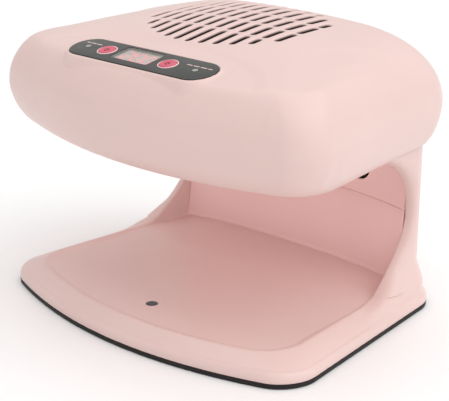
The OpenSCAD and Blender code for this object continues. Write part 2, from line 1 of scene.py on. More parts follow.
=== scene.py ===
import math
import bpy
import numpy as np
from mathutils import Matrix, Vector


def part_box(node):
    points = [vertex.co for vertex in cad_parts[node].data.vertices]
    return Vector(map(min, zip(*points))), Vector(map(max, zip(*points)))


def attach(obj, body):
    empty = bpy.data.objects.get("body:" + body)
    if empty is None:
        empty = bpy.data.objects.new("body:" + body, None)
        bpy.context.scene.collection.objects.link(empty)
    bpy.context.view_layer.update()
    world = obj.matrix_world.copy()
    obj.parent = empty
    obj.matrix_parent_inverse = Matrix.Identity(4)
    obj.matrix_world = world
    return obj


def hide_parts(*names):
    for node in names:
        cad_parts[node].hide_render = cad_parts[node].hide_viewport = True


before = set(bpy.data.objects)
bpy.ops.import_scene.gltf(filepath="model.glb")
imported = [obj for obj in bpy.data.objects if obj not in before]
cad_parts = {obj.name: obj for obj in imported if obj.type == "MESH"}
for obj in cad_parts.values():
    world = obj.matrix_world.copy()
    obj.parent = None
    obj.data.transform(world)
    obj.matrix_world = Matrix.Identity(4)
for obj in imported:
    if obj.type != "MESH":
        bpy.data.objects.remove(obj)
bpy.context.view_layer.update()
MM = 0.001

# ---- sizes in millimetres, shared with the CAD part ------------------------------------------------
BODY_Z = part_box("base_plate")[1].z / MM
PLATE_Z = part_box("base_plate")[0].z / MM
RIM_Z, CREST_Z, FLOOR_Z = 10.6, 17.0, 15.0
LIP_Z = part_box("top_cover")[0].z / MM
WAIST_Z, DOME_H, DOME_Y = 146.5, 57.3, 27.0
DECK_Z, DECK_SLOPE = 195.8, 0.178
CAP_Z, CAP_Y = 198.0, 38.6
WALL, CHEEK, BACK_T, RIM_SOFT = 2.6, 9.5, 4.0, 10.0
GRILLE_A, GRILLE_B, GRILLE_Y = 65.0, 54.5, 21.0
SLOT_PITCH, SLOT_W = 10.1, 3.6
BRIDGE_PITCH, BRIDGE, BRIDGE_SHIFT = 21.8, 3.2, 5.3
PANEL_HALF, PANEL_R, PANEL_Y, ISLAND_SINK = 61.5, 13.4, -68.0, 1.0
ISLAND_HALF, ISLAND_DEEP, ISLAND_V, ISLAND_EDGE = 97.0, 36.0, -5.0, 9.0
LEAF_X, LEAF_Y, LEAF_W, LEAF_L, LEAF_DEEP = 118.0, -3.0, 40.0, 60.0, 0.65
FACE_Z, FACE_IN, FACE_SLOPE = 180.4, 11.3, 2.0
PANEL_Z = DECK_Z + DECK_SLOPE * PANEL_Y - ISLAND_SINK
TILT = math.atan(DECK_SLOPE)
FLARE_Z, FLARE_H = 31.6, 16.0
OPEN_Y, OPEN_Z, OPEN_R, OPEN_LOW = 33.0, 64.0, 48.0, 49.0
RAMP_Z, RAMP_RUN, ARC_Z, ARC_RUN = 19.0, 4.0, 109.0, 2.3
SENSOR_Y, SENSOR_R, SENSOR_Z = -63.0, 4.0, 8.0
MARGIN_IN, MARGIN_POWER, TRAY_ROUND = 3.6, 1.15, 5.0
DISH_RUN, DISH_RUN_FRONT = 3.2, 3.4
FOOT_IN, FOOT_JOIN, CAVITY_SOFT = 3.0, 2.5, 1.5
CHEEK_END_Y, CHEEK_FADE = 89.0, 6.0
SKIN_SIDE, SKIN_TOP = 2.9, 2.8
EDGE_SOFT = 0.8
RIM_POWER, RIM_POWER_DROP, RIM_ROUND = 3.1, 0.7, 2.15
DECK_BEND, CROWN_BEND_Y, CROWN_BEND_X = 0.0003, 0.0001, 0.0011
FACE_END_X, FACE_FADE, FACE_LIFT = 108.0, 18.0, 45.0
UNDER_POWER = 1.67
SLOT_SOFT, SLOT_FLOOR_Z = 2.6, 170.0
SEAT_GAP, SEAT_DEPTH, SEAT_SOFT = 0.25, 1.25, 0.5
WINDOW_HALF, WINDOW_V, WINDOW_TALL, WINDOW_FLOOR_Z = 51.0, 1.9, 10.2, 160.0
POST_R, POST_Z = 4.0, 120.0
VOXEL = 0.8


# ---- plan outlines ---------------------------------------------------------------------------------
def bezier(a, b, c, d, n):
    t = np.linspace(0, 1, n)[:, None]
    return (1 - t) ** 3 * a + 3 * (1 - t) ** 2 * t * b + 3 * (1 - t) * t * t * c + t ** 3 * d


def half_plan(wf, wb, yf, yb, bow, rf, rb):
    """Right half of a rounded plan: bowed front, tapering side, straight back."""
    xa = wf - rf
    corner = np.array([wf, -yf])
    side = np.array([wb, yb]) - corner
    direction = side / np.linalg.norm(side)
    a = np.array([xa, -yf - bow * (1 - (xa / wf) ** 2)])
    tangent = np.array([1, 2 * bow * xa / wf ** 2])
    tangent /= np.linalg.norm(tangent)
    reach = 0.55 * np.linalg.norm(corner - a)
    b = corner + direction * rf
    c = np.array([wb, yb]) - direction * rb
    d = np.array([wb - rb, yb])
    xs = np.linspace(0, xa, 60)
    front = np.stack([xs, -yf - bow * (1 - (xs / wf) ** 2)], 1)
    ends = np.linspace(0, 1, 60)[:, None]
    return np.concatenate([
        front,
        bezier(a, a + tangent * reach, b - direction * 0.55 * rf, b, 60)[1:],
        (b + (c - b) * ends)[1:],
        bezier(c, c + direction * 0.55 * rb, d + np.array([0.55 * rb, 0]), d, 60)[1:],
        (d * (1 - ends) + np.array([0, yb]) * ends)[1:],
    ])


class Outline:
    """A plan outline as a table of radius against angle about (0, cy)."""

    def __init__(self, half, cy):
        self.half, self.cy = half, cy
        angle = np.arctan2(half[:, 0], cy - half[:, 1])
        radius = np.hypot(half[:, 0], half[:, 1] - cy)
        self.t = np.linspace(0, math.pi, 6001)
        self.r = np.interp(self.t, angle, radius)
        slope = np.gradient(self.r, self.t) / self.r
        smooth = np.ones(41) / 41
        slope = np.convolve(np.pad(slope, 20, mode="edge"), smooth, mode="valid")
        self.c = 1 / np.sqrt(1 + slope ** 2)

    def radius(self, x, y):
        return np.interp(np.arctan2(np.abs(x), self.cy - y), self.t, self.r)

    def distance(self, x, y):
        """Negative inside, close to true distance near the outline."""
        angle = np.arctan2(np.abs(x), self.cy - y)
        gap = np.hypot(x, y - self.cy) - np.interp(angle, self.t, self.r)
        return gap * np.interp(angle, self.t, self.c)

    def ring(self, inset=0.0):
        """Whole outline as points, moved inwards by inset."""
        half = self.half
        full = np.concatenate([half, half[-2:0:-1] * [-1, 1]])
        ahead = np.roll(full, -1, 0) - np.roll(full, 1, 0)
        normal = np.stack([-ahead[:, 1], ahead[:, 0]], 1)
        normal /= np.linalg.norm(normal, axis=1)[:, None]
        return full + normal * inset


BASE = Outline(half_plan(135, 117, 73.5, 102.5, 29.5, 20, 24), 10)
RECESS = Outline(half_plan(117, 103, 66, 93, 25.5, 22, 10), 10)
LIP = Outline(half_plan(125.7, 107.4, 52.3, 102, 27.5, 20, 24), DOME_Y)
HOOD = Outline(half_plan(141.3, 123, 69.6, 103, 27.5, 20, 31), DOME_Y)


# ---- solids as fields: negative inside -------------------------------------------------------------
def soft_max(a, b, k):
    h = np.maximum(k - np.abs(a - b), 0) / k
    return np.maximum(a, b) + h * h * k / 4


def soft_min(a, b, k):
    return -soft_max(-a, -b, k)


def step01(t):
    t = np.clip(t, 0, 1)
    return t * t * (3 - 2 * t)


def opening_depth(z):
    """How far back the C-shaped opening reaches at height z."""
    arc = np.sqrt(1 - ((np.clip(z, OPEN_Z, ARC_Z) - OPEN_Z) / OPEN_R) ** 2)
    up = OPEN_Y + OPEN_R * arc - np.maximum(z - ARC_Z, 0) * ARC_RUN
    fall = np.clip((OPEN_Z - np.maximum(z, RAMP_Z)) / OPEN_LOW, 0, 1)
    down = OPEN_Y + OPEN_R * (1 - fall ** 1.5) ** 0.87 - np.maximum(RAMP_Z - z, 0) * RAMP_RUN
    return np.where(z >= OPEN_Z, up, down)


def housing_field(x, y, z):
    to_base = BASE.distance(x, y)
    to_recess = RECESS.distance(x, y)
    to_lip = LIP.distance(x, y)
    margin = np.clip(to_recess, 0, None)
    share = margin / np.maximum(margin - to_base - MARGIN_IN, 1e-3)
    top = CREST_Z - (CREST_Z - RIM_Z) * np.clip(share, 0, 1) ** MARGIN_POWER
    run = DISH_RUN + DISH_RUN_FRONT * step01((20 - y) / 50)
    top = np.where(to_recess > 0, top, CREST_Z - (CREST_Z - FLOOR_Z) * step01(-to_recess / run))
    tray = soft_max(to_base, z - top, TRAY_ROUND)
    t = np.clip((FLARE_Z - z) / FLARE_H, 0, 1)
    flare = (np.sin(t * math.pi / 2) + step01(t)) / 2
    column = to_lip * (1 - flare) + (to_base + FOOT_IN) * flare
    thick = BACK_T + (CHEEK - BACK_T) * step01((CHEEK_END_Y - y) / CHEEK_FADE)
    cavity = np.maximum(np.maximum(to_lip + thick, FLOOR_Z - z), -y)
    steep = (opening_depth(z + 0.2) - opening_depth(z - 0.2)) / 0.4
    opening = (opening_depth(z) - y) / np.sqrt(1 + np.minimum(steep ** 2, 60))
    wall = soft_max(soft_max(column, opening, RIM_SOFT), -cavity, CAVITY_SOFT)
    body = soft_min(tray, wall, FOOT_JOIN)
    body = np.maximum(body, z - LIP_Z)
    pocket = np.maximum(to_base + SKIN_SIDE, z - np.minimum(top - SKIN_TOP, FLOOR_Z - WALL))
    body = np.maximum(body, -pocket)
    body = soft_max(body, BODY_Z - z, EDGE_SOFT)
    eye = SENSOR_R - np.hypot(x, y - SENSOR_Y)
    return soft_max(body, np.minimum(eye, z - SENSOR_Z), EDGE_SOFT)


def panel_frame(x, y, z):
    dy, dz = y - PANEL_Y, z - PANEL_Z
    return dy * math.cos(TILT) + dz * math.sin(TILT), dz * math.cos(TILT) - dy * math.sin(TILT)


def stadium(u, v, half, r):
    return np.hypot(np.maximum(np.abs(u) - (half - r), 0), v) - r


def soft_lowest(k, *heights):
    m = np.minimum.reduce(heights)
    return m - k * np.log(sum(np.exp((m - h) / k) for h in heights))


def island_share(x, y):
    """1 on the sunken ground around the control panel, 0 outside it."""
    u = np.abs(x) / ISLAND_HALF
    v = np.maximum(y - PANEL_Y - ISLAND_V, 0) / ISLAND_DEEP
    q = (u ** 2.2 + v ** 2.2 + 1e-6) ** (1 / 2.2)
    slope = np.hypot(u ** 1.2 / ISLAND_HALF, v ** 1.2 / ISLAND_DEEP) / q ** 1.2
    return step01(0.5 + (1 - q) / np.maximum(slope, 0.002) / ISLAND_EDGE)


def scallop_share(x, y):
    """1 in the middle of the leaf-shaped dish on each shoulder."""
    leaf = (np.maximum(LEAF_X - np.abs(x), 0) / LEAF_W) ** 1.5 + (np.abs(y - LEAF_Y) / LEAF_L) ** 1.5
    return step01((1 - leaf) / 0.42) * step01((LEAF_X + 4 - np.abs(x)) / 9)


def hood_top(x, y, inset):
    """Height of the hood's top surface at a plan point."""
    radius = HOOD.radius(x, y) - inset
    rho = np.hypot(x, y - DOME_Y) / radius
    left = 1 - rho ** (RIM_POWER - RIM_POWER_DROP * step01((y - 20) / 50))
    rim = WAIST_Z + inset + DOME_H * np.sign(left) * np.abs(left) ** (1 / RIM_ROUND)
    deck = DECK_Z + DECK_SLOPE * y - DECK_BEND * x * x - ISLAND_SINK * island_share(x, y)
    crown = CAP_Z - CROWN_BEND_Y * (y - CAP_Y) ** 2 - CROWN_BEND_X * x * x
    face = FACE_Z + FACE_SLOPE * (-HOOD.distance(x, y) - inset - FACE_IN)
    face = face + FACE_LIFT * step01((np.abs(x) - FACE_END_X) / FACE_FADE)
    rim = soft_lowest(1.6, rim, np.minimum(face, rim + 40))
    crease = 1.2 + 1.3 * step01((y + 60) / 45)
    top = soft_lowest(crease, soft_lowest(2.5, deck, crown), rim) - LEAF_DEEP * scallop_share(x, y)
    flat = PANEL_Z + DECK_SLOPE * (y - PANEL_Y)
    away = stadium(x, (y - PANEL_Y) * math.cos(TILT), PANEL_HALF, PANEL_R)
    if inset == 0:
        off = np.maximum(away - 1.0, 0)
        return soft_max(top, flat - 0.3 * off - 0.7 * off ** 2, EDGE_SOFT)
    extra = 2.2 * step01((3 - away) / 4)
    ring = np.hypot(x / (GRILLE_A + 4), (y - GRILLE_Y) / (GRILLE_B + 4))
    extra = np.maximum(extra, 3.6 * step01((1.06 - ring) / 0.08))
    return top - inset - extra


def hood_surface(x, y, z, inset):
    e = 0.02
    top = hood_top(x, y, inset)
    sx = (hood_top(x + e, y, inset) - top) / e
    sy = (hood_top(x, y + e, inset) - top) / e
    above = (z - top) / np.sqrt(1 + sx * sx + sy * sy)
    s = np.clip((WAIST_Z - z) / (WAIST_Z - LIP_Z), 0, 1)
    g = 1 - (1 - s ** UNDER_POWER) ** (1 / UNDER_POWER)
    below = HOOD.distance(x, y) * (1 - g) + LIP.distance(x, y) * g + inset
    return np.where(z >= WAIST_Z, above, below)


def slot_distance(x, y):
    """Plan distance to the nearest intake slot."""
    k = np.clip(np.floor(x / SLOT_PITCH), -6, 5) + 0.5
    across = x - k * SLOT_PITCH
    reach = GRILLE_B * np.sqrt(1 - (k * SLOT_PITCH / GRILLE_A) ** 2)
    best = np.full_like(x, 99.0)
    for row in range(-2, 3):
        middle = row * BRIDGE_PITCH + BRIDGE_SHIFT
        y0 = -reach if row == -2 else np.maximum(-reach, middle - (BRIDGE_PITCH - BRIDGE) / 2)
        y1 = reach if row == 2 else np.minimum(reach, middle + (BRIDGE_PITCH - BRIDGE) / 2)
        r = SLOT_W / 2
        along = np.maximum(np.maximum(y0 + r - (y - GRILLE_Y), (y - GRILLE_Y) - (y1 - r)), 0)
        d = np.hypot(across, along) - r
        best = np.minimum(best, np.where(y1 - y0 > SLOT_W + 1.5, d, 99.0))
    return best


# Screw posts under the hood, on the right; the field is mirrored in x.
POSTS = [(98, -52), (104, 8), (98, 62)]


def hood_field(x, y, z):
    outer = hood_surface(x, y, z, 0.0)
    inner = hood_surface(x, y, z, WALL)
    for px, py in POSTS:
        post = np.maximum(np.hypot(np.abs(x) - px, y - py) - POST_R, POST_Z - z)
        inner = np.maximum(inner, -post)
    shell = np.maximum(outer, -inner)
    shell = soft_max(shell, LIP_Z - z, EDGE_SOFT)
    slots = np.maximum(slot_distance(x, y), SLOT_FLOOR_Z - z)
    shell = soft_max(shell, -slots, SLOT_SOFT)
    v, w = panel_frame(x, y, z)
    seat = np.maximum(stadium(x, v, PANEL_HALF + SEAT_GAP, PANEL_R + SEAT_GAP), -SEAT_DEPTH - w)
    window = np.maximum(np.abs(x) - WINDOW_HALF, np.abs(v - WINDOW_V) - WINDOW_TALL)
    window = np.maximum(window, WINDOW_FLOOR_Z - z)
    return np.maximum(soft_max(shell, -seat, SEAT_SOFT), -window)


# ---- turning a mirrored field into a mesh ----------------------------------------------------------
CORNERS = [(i, j, k) for i in (0, 1) for j in (0, 1) for k in (0, 1)]
EDGES = [(a, b) for a in range(8) for b in range(a + 1, 8)
         if sum(p != q for p, q in zip(CORNERS[a], CORNERS[b])) == 1]


def field_mesh(field, lo, hi, h):
    """Quads on the field's zero surface for x >= 0, mirrored; lo and hi are corners in mm."""
    xs = (np.arange(int(hi[0] / h) + 3) - 0.5) * h
    ys = np.arange(lo[1], hi[1] + h, h)
    zs = np.arange(lo[2], hi[2] + h, h)
    gx, gy = np.meshgrid(xs, ys, indexing="ij")
    value = np.stack([field(gx, gy, np.full_like(gx, z)) for z in zs], axis=2)
    solid = value < 0
    nx, ny, nz = (n - 1 for n in solid.shape)
    count = sum(solid[i:nx + i, j:ny + j, k:nz + k].astype(int) for i, j, k in CORNERS)
    active = (count > 0) & (count < 8)
    number = np.full(active.shape, -1)
    cell = np.argwhere(active)
    number[active] = np.arange(len(cell))
    at = [value[cell[:, 0] + i, cell[:, 1] + j, cell[:, 2] + k] for i, j, k in CORNERS]
    total, hits = np.zeros((len(cell), 3)), np.zeros(len(cell))
    for a, b in EDGES:
        cross = (at[a] < 0) != (at[b] < 0)
        t = at[a] / np.where(cross, at[a] - at[b], 1)
        p = np.array(CORNERS[a]) + t[:, None] * (np.array(CORNERS[b]) - np.array(CORNERS[a]))
        total += np.where(cross[:, None], p, 0)
        hits += cross
    origin = np.array([xs[0], ys[0], zs[0]])
    low = origin + cell * h
    p = low + total / hits[:, None] * h
    for _ in range(3):
        f = field(*p.T)
        e = 0.02
        grad = np.stack([(field(*(p + e * axis).T) - f) / e for axis in np.eye(3)], 1)
        step = grad * (f / np.maximum((grad ** 2).sum(1), 0.05))[:, None]
        p = np.clip(p - np.clip(step, -h / 2, h / 2), low - 0.1 * h, low + 1.1 * h)
    p[cell[:, 0] == 0, 0] = 0
    quads = []
    for axis in range(3):
        first = [slice(1, -1)] * 3
        second = [slice(1, -1)] * 3
        first[axis], second[axis] = slice(0, -1), slice(1, None)
        a, b = solid[tuple(first)], solid[tuple(second)]
        edge = np.argwhere(a != b) + [0 if n == axis else 1 for n in range(3)]
        edge = edge[edge[:, 0] > 0]
        inside_first = solid[edge[:, 0], edge[:, 1], edge[:, 2]]
        n1, n2 = (axis + 1) % 3, (axis + 2) % 3
        around = []
        for d1, d2 in ((-1, -1), (0, -1), (0, 0), (-1, 0)):
            c = edge.copy()
            c[:, n1] += d1
            c[:, n2] += d2
            around.append(number[c[:, 0], c[:, 1], c[:, 2]])
        q = np.stack(around, 1)
        quads.append(np.where(inside_first[:, None], q, q[:, ::-1]))
    quads = np.concatenate(quads)
    off_plane = cell[:, 0] > 0
    mirrored = np.arange(len(p))
    mirrored[off_plane] = len(p) + np.arange(off_plane.sum())
    points = np.concatenate([p, p[off_plane] * [-1, 1, 1]])
    return points, np.concatenate([quads, mirrored[quads][:, ::-1]])


# ---- mesh helpers ----------------------------------------------------------------------------------
SHARP = 0.01


def new_object(name, points, faces, sharp=None):
    """points in mm; faces a quad array or a list of index lists."""
    mesh = bpy.data.meshes.new(name)
    if isinstance(faces, np.ndarray):
        mesh.vertices.add(len(points))
        mesh.vertices.foreach_set("co", (np.asarray(points) * MM).astype(np.float32).ravel())
        mesh.loops.add(faces.size)
        mesh.loops.foreach_set("vertex_index", faces.astype(np.int32).ravel())
        mesh.polygons.add(len(faces))
        mesh.polygons.foreach_set("loop_start", np.arange(len(faces), dtype=np.int32) * 4)
        mesh.update(calc_edges=True)
    else:
        mesh.from_pydata([tuple(float(c) * MM for c in p) for p in points], [], [list(f) for f in faces])
    mesh.validate()
    mesh.polygons.foreach_set("use_smooth", np.ones(len(mesh.polygons), bool))
    if sharp is not None:
        mesh.set_sharp_from_angle(angle=math.radians(sharp))
    mesh.update()
    obj = bpy.data.objects.new(name, mesh)
    bpy.context.scene.collection.objects.link(obj)
    return obj


def loft(rings):
    """Closed solid through rings of equal count; both ends are capped with a fan."""
    n, m = len(rings[0]), len(rings)
    points = np.concatenate([*rings, [rings[0].mean(0)], [rings[-1].mean(0)]])
    j = np.arange(n)
    k = (j + 1) % n
    faces = []
    for i in range(m - 1):
        faces += np.stack([i * n + j, i * n + k, (i + 1) * n + k, (i + 1) * n + j], 1).tolist()
    faces += np.stack([np.full(n, m * n), k, j], 1).tolist()
    faces += np.stack([np.full(n, m * n + 1), (m - 1) * n + j, (m - 1) * n + k], 1).tolist()
    return points, faces


def merge(*solids):
    points, faces, start = [], [], 0
    for p, f in solids:
        points.append(np.asarray(p, float))
        faces += [[i + start for i in face] for face in f]
        start += len(p)
    return np.concatenate(points), faces


def at_z(ring, z):
    return np.column_stack([ring, np.full(len(ring), z)])


def slab(ring_at, z0, z1, low, high, steps=4):
    """Extruded outline with rounded lower and upper edges; ring_at(inset) gives the outline."""
    a = np.linspace(math.pi / 2, 0, steps + 1)
    rings = [at_z(ring_at(low * (1 - math.cos(t))), z0 + low * (1 - math.sin(t))) for t in a]
    rings += [at_z(ring_at(high * (1 - math.cos(t))), z1 - high * (1 - math.sin(t))) for t in a[::-1]]
    return loft(rings)


def stadium_ring(half, r, inset=0.0, n=40):
    a = np.linspace(-math.pi / 2, math.pi / 2, n)
    right = np.stack([half - r + (r - inset) * np.cos(a), (r - inset) * np.sin(a)], 1)
    return np.concatenate([right, -right])


def rect_ring(w, d, r, inset=0.0, n=8):
    out = []
    for q, (sx, sy) in enumerate(((1, -1), (1, 1), (-1, 1), (-1, -1))):
        a = np.linspace(0, math.pi / 2, n) + (q - 1) * math.pi / 2
        rr = max(r - inset, 0.01)
        cx, cy = sx * (w / 2 - inset - rr), sy * (d / 2 - inset - rr)
        out.append(np.stack([cx + rr * np.cos(a), cy + rr * np.sin(a)], 1))
    return np.concatenate(out)


def box_solid(x0, x1, y0, y1, z0, z1):
    ring = np.array([[x0, y0], [x1, y0], [x1, y1], [x0, y1]], float)
    return loft([at_z(ring, z0), at_z(ring, z1)])


def stadium_y(half, r, y0, y1, z):
    """Stadium-shaped bar along y, for cutting."""
    p, f = slab(lambda i: stadium_ring(half, r, i, 24), -y1, -y0, SHARP, SHARP, 3)
    return np.column_stack([p[:, 0], -p[:, 2], p[:, 1] + z]), f


def lathe(profile, n, centre):
    """Solid of revolution about z; profile is (radius, z) from the bottom centre to the top centre."""
    a = np.linspace(0, 2 * math.pi, n, endpoint=False)
    rings = [np.column_stack([centre[0] + r * np.cos(a), centre[1] + r * np.sin(a), np.full(n, z)])
             for r, z in profile]
    return loft(rings)


def ring_lathe(profile, n, centre):
    """Ring of revolution; profile is a closed loop of (radius, z), from the inner foot over the top."""
    a = np.linspace(0, 2 * math.pi, n, endpoint=False)
    m = len(profile)
    points = np.array([[centre[0] + r * math.cos(t), centre[1] + r * math.sin(t), z]
                       for t in a for r, z in profile])
    faces = [[i * m + j, i * m + (j + 1) % m, ((i + 1) % n) * m + (j + 1) % m, ((i + 1) % n) * m + j]
             for i in range(n) for j in range(m)]
    return points, faces


def on_panel(solid):
    """Moves a solid from the control panel's own frame into the row frame."""
    p, f = solid
    p = np.asarray(p, float)
    v, w = p[:, 1], p[:, 2]
    return np.column_stack([
        p[:, 0],
        PANEL_Y + v * math.cos(TILT) - w * math.sin(TILT),
        PANEL_Z + v * math.sin(TILT) + w * math.cos(TILT),
    ]), f


def cut(obj, solid, name):
    """Takes a closed solid away from obj."""
    tool = new_object(name, *solid)
    mod = obj.modifiers.new("cut", "BOOLEAN")
    mod.operation, mod.object = "DIFFERENCE", tool
    mod.solver = "MANIFOLD"
    dg = bpy.context.evaluated_depsgraph_get()
    made = bpy.data.meshes.new_from_object(obj.evaluated_get(dg))
    obj.modifiers.clear()
    obj.data = made
    bpy.data.objects.remove(tool)


def smooth_by_angle(obj, angle):
    obj.data.polygons.foreach_set("use_smooth", np.ones(len(obj.data.polygons), bool))
    obj.data.set_sharp_from_angle(angle=math.radians(angle))


def mesh_values(collection, key):
    """Three numbers per vertex or face, in mm."""
    values = np.zeros(len(collection) * 3)
    collection.foreach_get(key, values)
    return values.reshape(-1, 3) / MM


# ---- materials -------------------------------------------------------------------------------------
class Nodes:
    def __init__(self, name):
        self.mat = bpy.data.materials.new(name)
        self.mat.use_nodes = True
        self.tree = self.mat.node_tree
        self.tree.nodes.clear()
        self.out = self.tree.nodes.new("ShaderNodeOutputMaterial")
        self.bsdf = self.tree.nodes.new("ShaderNodeBsdfPrincipled")
        self.link(self.bsdf.outputs[0], self.out.inputs["Surface"])
        self.coord = self.tree.nodes.new("ShaderNodeTexCoord").outputs["Object"]

    def link(self, a, b):
        self.tree.links.new(a, b)

    def noise(self, scale, detail=3.0, rough=0.5):
        n = self.tree.nodes.new("ShaderNodeTexNoise")
        n.inputs["Scale"].default_value = scale
        n.inputs["Detail"].default_value = detail
        n.inputs["Roughness"].default_value = rough
        self.link(self.coord, n.inputs["Vector"])
        return n.outputs["Fac"]

    def span(self, fac, low, high, a=0.3, b=0.7):
        n = self.tree.nodes.new("ShaderNodeMapRange")
        for key, v in (("From Min", a), ("From Max", b), ("To Min", low), ("To Max", high)):
            n.inputs[key].default_value = v
        self.link(fac, n.inputs["Value"])
        return n.outputs["Result"]

    def mix(self, fac, c1, c2):
        n = self.tree.nodes.new("ShaderNodeMix")
        n.data_type = "RGBA"
        self.link(fac, n.inputs["Factor"])
        for socket, c in ((n.inputs[6], c1), (n.inputs[7], c2)):
            if isinstance(c, tuple):
                socket.default_value = (*c, 1)
            else:
                self.link(c, socket)
        return n.outputs[2]

    def bump(self, height, strength, distance):
        n = self.tree.nodes.new("ShaderNodeBump")
        n.inputs["Strength"].default_value = strength
        n.inputs["Distance"].default_value = distance
        self.link(height, n.inputs["Height"])
        self.link(n.outputs["Normal"], self.bsdf.inputs["Normal"])

    def set(self, **values):
        for key, v in values.items():
            self.bsdf.inputs[key.replace("_", " ")].default_value = v
        return self


def surface(name, c1, c2, rough, cloud, grain, bump, depth, shade=None, **more):
    """Moulded or printed surface: a slow colour drift, uneven gloss and a fine grain; when shade is given,
    painted shade darkens it towards that colour where the slot_depth attribute is deep.
    """
    m = Nodes(name)
    colour = m.mix(m.span(m.noise(cloud, 4.0), 0, 1), c1, c2)
    if shade:
        # Painted shade: the colour runs to the shade colour with the slot_depth attribute, darkening the
        # slot walls.
        deep = m.tree.nodes.new("ShaderNodeAttribute")
        deep.attribute_name = "slot_depth"
        colour = m.mix(m.span(deep.outputs["Fac"], 0, 1, 0.45, 1.5), colour, shade)
    m.link(colour, m.bsdf.inputs["Base Color"])
    m.link(m.span(m.noise(cloud * 5, 2.0), *rough), m.bsdf.inputs["Roughness"])
    m.bump(m.noise(grain, 2.0), bump, depth)
    return m.set(**more).mat


MATS = {
    # pink_gloss carries painted shade: near-black on the intake slot walls, growing with their depth.
    "pink_gloss": surface("pink_gloss", (0.755, 0.555, 0.522), (0.785, 0.583, 0.550), (0.30, 0.37), 9, 1800,
                          0.035, 0.00005, shade=(0.03, 0.014, 0.012), IOR=1.45),
    # Near-black for the inside faces of the pink hood moulding: painted shade under the hood.
    "hood_inside_painted_shade": surface("hood_inside_painted_shade", (0.022, 0.012, 0.010), (0.034, 0.018, 0.015), (0.5, 0.65), 14, 2600,
                          0.08, 0.00006),
    # Lighter, more saturated copy of the pink with a rougher satin finish: painted light on the cavity
    # walls, beside the fill lamp.
    "pink_satin": surface("pink_satin", (0.90, 0.61, 0.585), (0.93, 0.64, 0.615), (0.34, 0.44), 14, 2600,
                          0.08, 0.00006),
    "black_abs": surface("black_abs", (0.012, 0.010, 0.010), (0.020, 0.017, 0.016), (0.45, 0.6), 40, 3000,
                         0.15, 0.00008, Specular_IOR_Level=0.25),
    "black_rubber": surface("black_rubber", (0.018, 0.018, 0.018), (0.035, 0.034, 0.033), (0.6, 0.8), 60,
                            2200, 0.2, 0.0001),
    "panel_dark": surface("panel_dark", (0.044, 0.044, 0.041), (0.056, 0.056, 0.052), (0.22, 0.32), 50, 4000,
                          0.05, 0.00004, Specular_IOR_Level=0.3),
    "button_pink": surface("button_pink", (0.63, 0.075, 0.14), (0.71, 0.105, 0.17), (0.25, 0.35), 90, 3500,
                           0.06, 0.00004),
    "ring_pale": surface("ring_pale", (0.86, 0.60, 0.60), (0.90, 0.66, 0.65), (0.25, 0.35), 90, 3500,
                         0.05, 0.00004),
    "display_body": surface("display_body", (0.54, 0.49, 0.47), (0.60, 0.545, 0.52), (0.4, 0.5), 80, 4000,
                            0.05, 0.00004),
    "lamp_clear": surface("lamp_clear", (0.42, 0.45, 0.43), (0.52, 0.55, 0.52), (0.15, 0.25), 200, 5000,
                          0.05, 0.00003, Transmission_Weight=0.3),
    "board_green": surface("board_green", (0.02, 0.13, 0.05), (0.03, 0.18, 0.07), (0.3, 0.45), 60, 1500,
                           0.3, 0.0001),
    "steel": surface("steel", (0.55, 0.55, 0.57), (0.66, 0.66, 0.68), (0.22, 0.38), 120, 3000,
                     0.1, 0.00004, Metallic=1.0),
    "fan_black": surface("fan_black", (0.03, 0.03, 0.033), (0.05, 0.05, 0.055), (0.4, 0.55), 60, 2500,
                         0.15, 0.00006),
    "aluminium": surface("aluminium", (0.66, 0.66, 0.67), (0.76, 0.76, 0.77), (0.25, 0.4), 90, 2500,
                         0.1, 0.00004, Metallic=1.0),
    "mica": surface("mica", (0.50, 0.43, 0.33), (0.62, 0.55, 0.44), (0.5, 0.7), 90, 1200, 0.3, 0.0001),
    "sensor_dark": surface("sensor_dark", (0.016, 0.006, 0.008), (0.026, 0.010, 0.012), (0.08, 0.14), 120,
                           4000, 0.02, 0.00002),
    "wire_white": surface("wire_white", (0.62, 0.62, 0.60), (0.75, 0.75, 0.73), (0.45, 0.6), 150, 900,
                          0.5, 0.0002),
}


def glow_material():
    m = Nodes("segment_glow")
    tint = m.mix(m.span(m.noise(600, 2.0), 0, 1), (0.86, 0.20, 0.25), (0.92, 0.28, 0.33))
    m.link(tint, m.bsdf.inputs["Base Color"])
    m.link(tint, m.bsdf.inputs["Emission Color"])
    m.link(m.span(m.noise(900, 2.0), 0.25, 0.4), m.bsdf.inputs["Roughness"])
    return m.set(Emission_Strength=0.4).mat


def glass_material():
    m = Nodes("display_clear")
    tint = m.mix(m.span(m.noise(40, 2.0), 0, 1), (0.70, 0.67, 0.62), (0.76, 0.73, 0.68))
    m.link(tint, m.bsdf.inputs["Base Color"])
    m.link(m.span(m.noise(300, 3.0), 0.12, 0.2), m.bsdf.inputs["Roughness"])
    m.link(m.span(m.noise(120, 2.0), 0.16, 0.22), m.bsdf.inputs["Alpha"])
    m.bump(m.noise(60, 1.0), 0.02, 0.0001)
    return m.set(IOR=1.35).mat


MATS["segment_glow"] = glow_material()
MATS["display_clear"] = glass_material()


def dress(obj, slot_name, body="housing", replaces=()):
    obj.data.materials.clear()
    obj.data.materials.append(MATS[slot_name])
    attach(obj, body)
    if replaces:
        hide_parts(*replaces)


